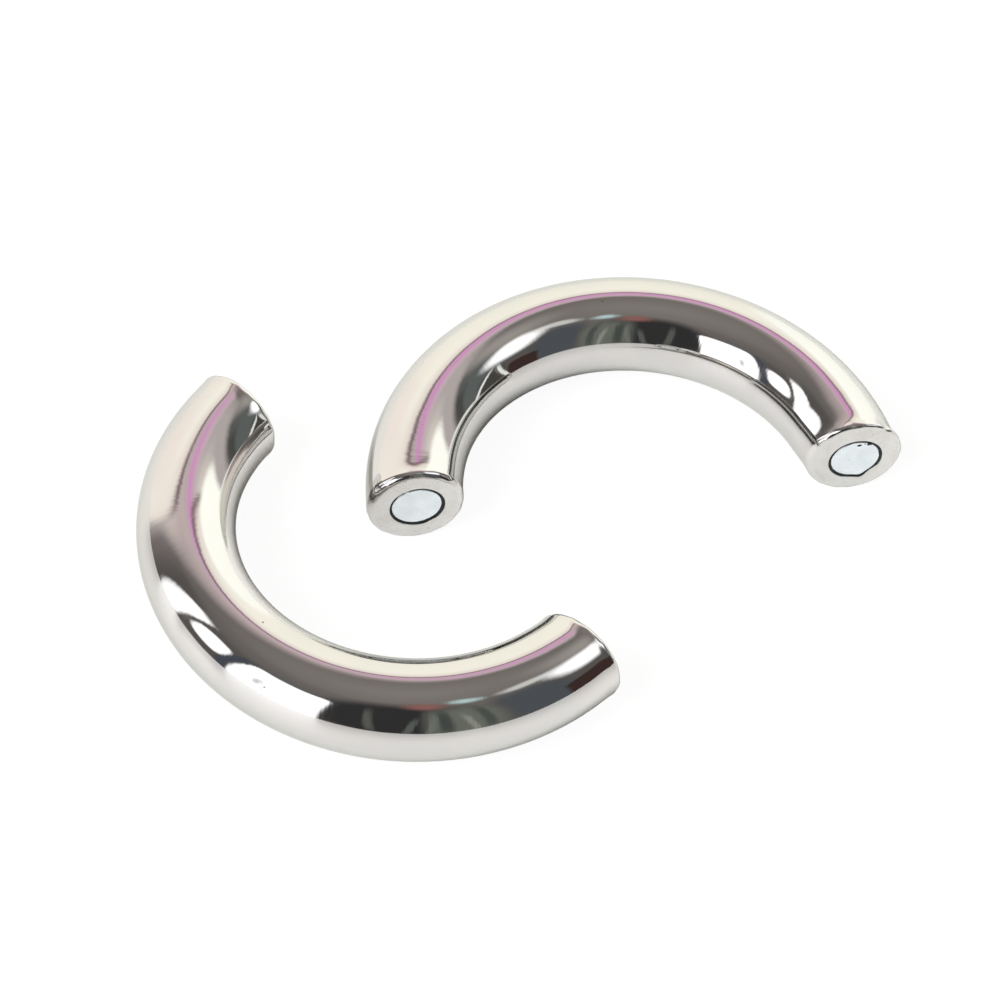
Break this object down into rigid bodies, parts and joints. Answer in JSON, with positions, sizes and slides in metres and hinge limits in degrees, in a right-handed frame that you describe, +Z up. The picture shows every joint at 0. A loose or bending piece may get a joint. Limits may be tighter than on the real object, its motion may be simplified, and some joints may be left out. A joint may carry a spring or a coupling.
{
  "type": "magnetic split ring puzzle",
  "caption": "Polished steel ring of round bar in two loose half rings, with a disc magnet set in each flat end so that they join.",
  "frame": {"origin": "on the table, below the middle of the two half rings as they lie apart", "axes": "+Z up, +X to the right along the longest extent, and +Y away from the viewer"},
  "size_m": [0.108, 0.0874, 0.014],
  "materials": {
    "polished_steel": "mirror-polished stainless steel bar, with finely ground flat end faces",
    "magnet_plating": "satin nickel plating on a disc magnet",
    "adhesive": "dark cured adhesive, slightly glossy"
  },
  "bodies": {
    "front_half": {"front_half_ring": "polished_steel", "front_left_magnet": "magnet_plating", "front_left_adhesive": "adhesive", "front_right_magnet": "magnet_plating", "front_right_adhesive": "adhesive"},
    "rear_pivot_magnet": {"rear_right_magnet": "magnet_plating", "rear_right_adhesive": "adhesive"},
    "rear_half": {"rear_half_ring": "polished_steel", "rear_left_magnet": "magnet_plating", "rear_left_adhesive": "adhesive"}
  },
  "joints": [
    {"name": "carry_across", "type": "hinge", "parent": "front_half", "child": "rear_pivot_magnet", "pos_m": [0.00354, 0.10764, 0.007], "axis": [0, 0, -1], "range_deg": [0, 50.41]},
    {"name": "close_ring", "type": "hinge", "parent": "rear_pivot_magnet", "child": "rear_half", "pos_m": [0.04739, 0.01336, 0.007], "axis": [-0.2317, 0.9728, 0], "range_deg": [0, 180]}
  ],
  "couplings": [
    {"joint": "carry_across", "follows": "close_ring", "ratio": 0.28}
  ]
}
